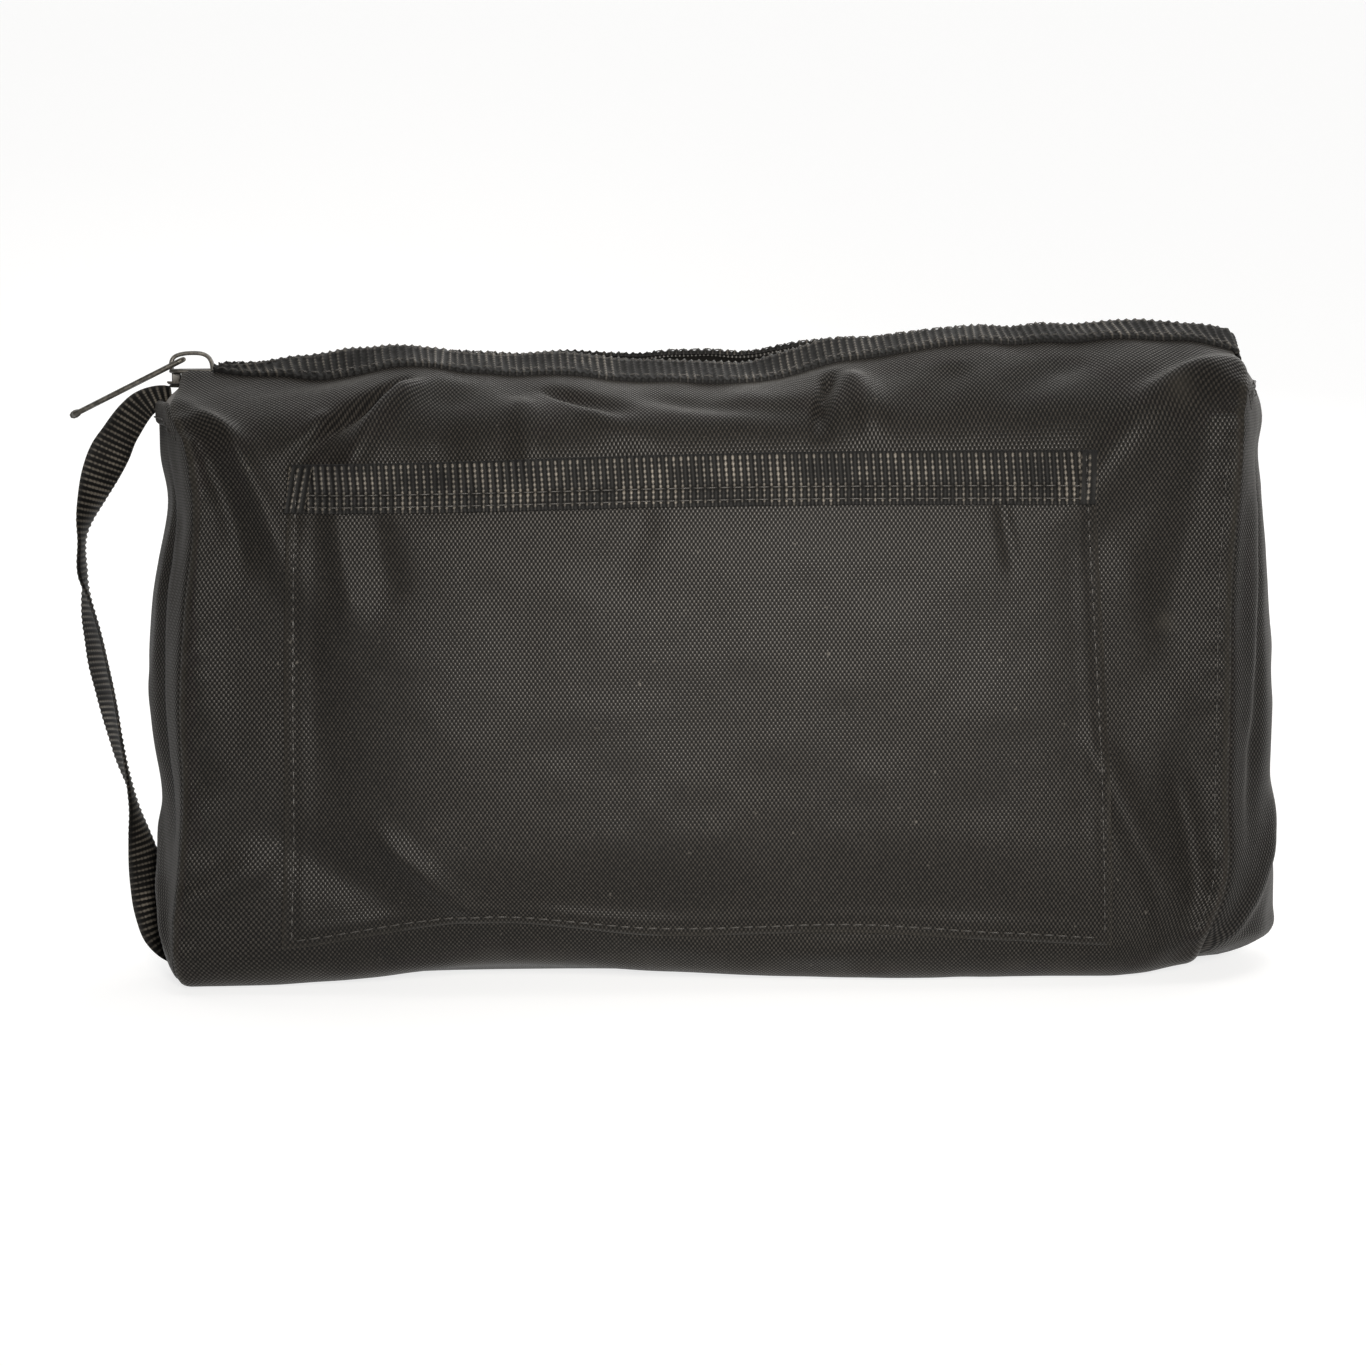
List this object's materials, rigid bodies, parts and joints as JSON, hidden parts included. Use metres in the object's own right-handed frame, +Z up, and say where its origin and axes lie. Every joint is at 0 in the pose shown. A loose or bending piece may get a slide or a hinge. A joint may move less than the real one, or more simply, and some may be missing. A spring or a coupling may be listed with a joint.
{
  "type": "hanging toiletry bag",
  "caption": "Soft rectangular wash bag with a zip mouth along its top, a webbing-edged front pocket and a webbing loop at its left end to hang it by.",
  "frame": {"origin": "centre of the base's underside", "axes": "+X to the right along the bag's length, away from the loop; +Z up; -Y the pocket side"},
  "size_m": [0.296, 0.0984, 0.1557],
  "materials": {
    "oxford_cloth": "woven nylon with a slight sheen",
    "webbing": "ribbed webbing",
    "zip_tape": "matt woven tape",
    "zip_coil": "nylon coil",
    "zip_metal": "dark plated, worn at the edges",
    "binding_tape": "matt binding"
  },
  "bodies": {
    "bag": {"base_panel": "oxford_cloth", "front_wall": "oxford_cloth", "back_wall": "oxford_cloth", "left_gusset": "oxford_cloth", "right_gusset": "oxford_cloth", "front_left_shoulder": "oxford_cloth", "front_right_shoulder": "oxford_cloth", "back_left_shoulder": "oxford_cloth", "back_right_shoulder": "oxford_cloth", "pocket_panel": "oxford_cloth", "pocket_band": "webbing", "left_seam_binding": "binding_tape", "right_seam_binding": "binding_tape", "front_trim_left_end": "webbing", "front_trim_right_end": "webbing", "back_trim_left_end": "webbing", "back_trim_right_end": "webbing", "front_tape_left_end": "zip_tape", "back_tape_left_end": "zip_tape", "front_tape_right_end": "zip_tape", "back_tape_right_end": "zip_tape", "front_coil_left_end": "zip_coil", "back_coil_left_end": "zip_coil", "front_coil_right_end": "zip_coil", "back_coil_right_end": "zip_coil", "zip_bottom_stop": "zip_metal", "zip_left_flap": "zip_tape", "zip_right_flap": "zip_tape", "strap_top_end": "webbing", "strap_bottom_end": "webbing"},
    "front_lip": {"front_lip_panel": "oxford_cloth", "front_trim": "webbing", "front_zip_tape": "zip_tape", "front_zip_coil": "zip_coil"},
    "back_lip": {"back_lip_panel": "oxford_cloth", "back_trim": "webbing", "back_zip_tape": "zip_tape", "back_zip_coil": "zip_coil"},
    "slider": {"slider_body": "zip_metal", "slider_bridge": "zip_metal"},
    "puller": {"puller": "zip_metal"},
    "strap": {"strap_loop": "webbing"}
  },
  "joints": [
    {"name": "zip_slide", "type": "slide", "parent": "bag", "child": "slider", "axis": [0.9998, 0, 0.0209], "range_m": [0, 0.246], "deforming": ["back_coil_left_end", "back_coil_right_end", "back_tape_left_end", "back_tape_right_end", "back_zip_coil", "back_zip_tape", "front_coil_left_end", "front_coil_right_end", "front_tape_left_end", "front_tape_right_end", "front_zip_coil", "front_zip_tape"]},
    {"name": "front_lip_open", "type": "hinge", "parent": "bag", "child": "front_lip", "pos_m": [0, -0.043, 0.132], "axis": [1, 0, 0], "range_deg": [0, 60]},
    {"name": "back_lip_open", "type": "hinge", "parent": "bag", "child": "back_lip", "pos_m": [0, 0.043, 0.132], "axis": [-1, 0, 0], "range_deg": [0, 60]},
    {"name": "pull_swing", "type": "hinge", "parent": "slider", "child": "puller", "pos_m": [-0.13035, 0, 0.15185], "axis": [0, 1, 0], "range_deg": [0, 200]},
    {"name": "loop_swing", "type": "hinge", "parent": "bag", "child": "strap", "pos_m": [-0.143, 0, 0.08], "axis": [0, 0, 1], "range_deg": [-30, 30]}
  ],
  "couplings": [
    {"joint": "front_lip_open", "follows": "zip_slide", "rad_per_m": 4.2564},
    {"joint": "back_lip_open", "follows": "zip_slide", "rad_per_m": 4.2564}
  ]
}
